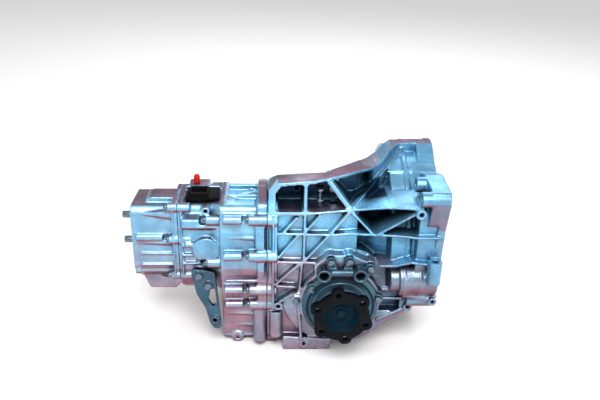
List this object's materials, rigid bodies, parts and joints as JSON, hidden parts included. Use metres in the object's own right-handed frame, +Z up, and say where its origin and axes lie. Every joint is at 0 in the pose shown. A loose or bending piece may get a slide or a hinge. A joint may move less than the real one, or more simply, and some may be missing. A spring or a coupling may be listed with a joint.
{
  "type": "gearbox housing",
  "caption": "Long cast gearbox housing with a ribbed bell, bolted rear cases and black lobed drive flanges low on both sides.",
  "frame": {"origin": "input axis at the engine mating face", "axes": "+X points at the engine along the input axis, +Z up, the side with the cooler ports looks along -Y"},
  "size_m": [0.593, 0.41, 0.391],
  "materials": {
    "cast_aluminium": "sand cast, satin",
    "black_steel": "satin black",
    "bright_steel": "machined",
    "seal_rubber": "matt",
    "black_plastic": "matt",
    "red_plastic": "glossy"
  },
  "bodies": {
    "housing": {"clutch_housing": "cast_aluminium", "gear_case": "cast_aluminium", "transfer_housing": "cast_aluminium", "rear_cover": "cast_aluminium", "mounting_bracket": "cast_aluminium", "control_cover": "cast_aluminium", "differential_cover": "cast_aluminium", "far_differential_cover": "cast_aluminium", "axle_seal": "seal_rubber", "far_axle_seal": "seal_rubber", "input_seal": "seal_rubber", "rear_seal": "seal_rubber", "differential_bearings": "bright_steel", "pinion_bearings": "bright_steel", "input_bearings": "bright_steel", "rear_bearings": "bright_steel", "vent_pipe": "bright_steel", "filler_plug": "bright_steel", "dowels": "bright_steel", "rear_pins": "bright_steel", "case_bolts": "bright_steel", "transfer_bolts": "bright_steel", "cover_bolts": "bright_steel", "differential_bolts": "bright_steel", "far_differential_bolts": "bright_steel", "control_bolts": "bright_steel", "bracket_bolts": "bright_steel", "connector": "black_plastic", "breather_cap": "red_plastic"},
    "input_line": {"input_shaft": "bright_steel", "clutch_pack": "black_steel", "main_shaft": "bright_steel"},
    "idler_1": {"idler_gear_1": "bright_steel"},
    "idler_2": {"idler_gear_2": "bright_steel"},
    "pinion_line": {"drive_pinion": "bright_steel"},
    "rear_line": {"rear_shaft": "bright_steel", "rear_flange": "black_steel"},
    "differential": {"differential_carrier": "bright_steel", "ring_gear": "bright_steel"},
    "near_flange": {"output_flange": "black_steel", "flange_screw": "black_steel"},
    "far_flange": {"far_output_flange": "black_steel", "far_flange_screw": "black_steel"},
    "selector": {"selector_shaft": "bright_steel", "selector_lever": "bright_steel"}
  },
  "joints": [
    {"name": "input_spin", "type": "hinge", "parent": "housing", "child": "input_line", "pos_m": [-0.2, 0, 0], "axis": [1, 0, 0], "continuous": true},
    {"name": "idler_1_spin", "type": "hinge", "parent": "housing", "child": "idler_1", "pos_m": [-0.362, 0, -0.11], "axis": [1, 0, 0], "continuous": true},
    {"name": "idler_2_spin", "type": "hinge", "parent": "housing", "child": "idler_2", "pos_m": [-0.342, 0, -0.11], "axis": [1, 0, 0], "continuous": true},
    {"name": "pinion_spin", "type": "hinge", "parent": "housing", "child": "pinion_line", "pos_m": [-0.33, 0, -0.11], "axis": [1, 0, 0], "continuous": true},
    {"name": "rear_spin", "type": "hinge", "parent": "housing", "child": "rear_line", "pos_m": [-0.5, 0, 0], "axis": [1, 0, 0], "continuous": true},
    {"name": "differential_spin", "type": "hinge", "parent": "housing", "child": "differential", "pos_m": [-0.178, 0, -0.096], "axis": [0, 1, 0], "continuous": true},
    {"name": "near_flange_spin", "type": "hinge", "parent": "housing", "child": "near_flange", "pos_m": [-0.178, -0.19, -0.096], "axis": [0, 1, 0], "continuous": true},
    {"name": "far_flange_spin", "type": "hinge", "parent": "housing", "child": "far_flange", "pos_m": [-0.178, 0.19, -0.096], "axis": [0, 1, 0], "continuous": true},
    {"name": "selector_swing", "type": "hinge", "parent": "housing", "child": "selector", "pos_m": [-0.366, 0.14, -0.02], "axis": [0, 1, 0], "range_deg": [-15, 15]}
  ],
  "couplings": [
    {"joint": "idler_1_spin", "follows": "input_spin", "ratio": -0.57143},
    {"joint": "idler_2_spin", "follows": "input_spin", "ratio": -1},
    {"joint": "rear_spin", "follows": "pinion_spin", "ratio": -1},
    {"joint": "differential_spin", "follows": "pinion_spin", "ratio": 0.25806},
    {"joint": "near_flange_spin", "follows": "pinion_spin", "ratio": 0.25806},
    {"joint": "far_flange_spin", "follows": "pinion_spin", "ratio": 0.25806}
  ]
}
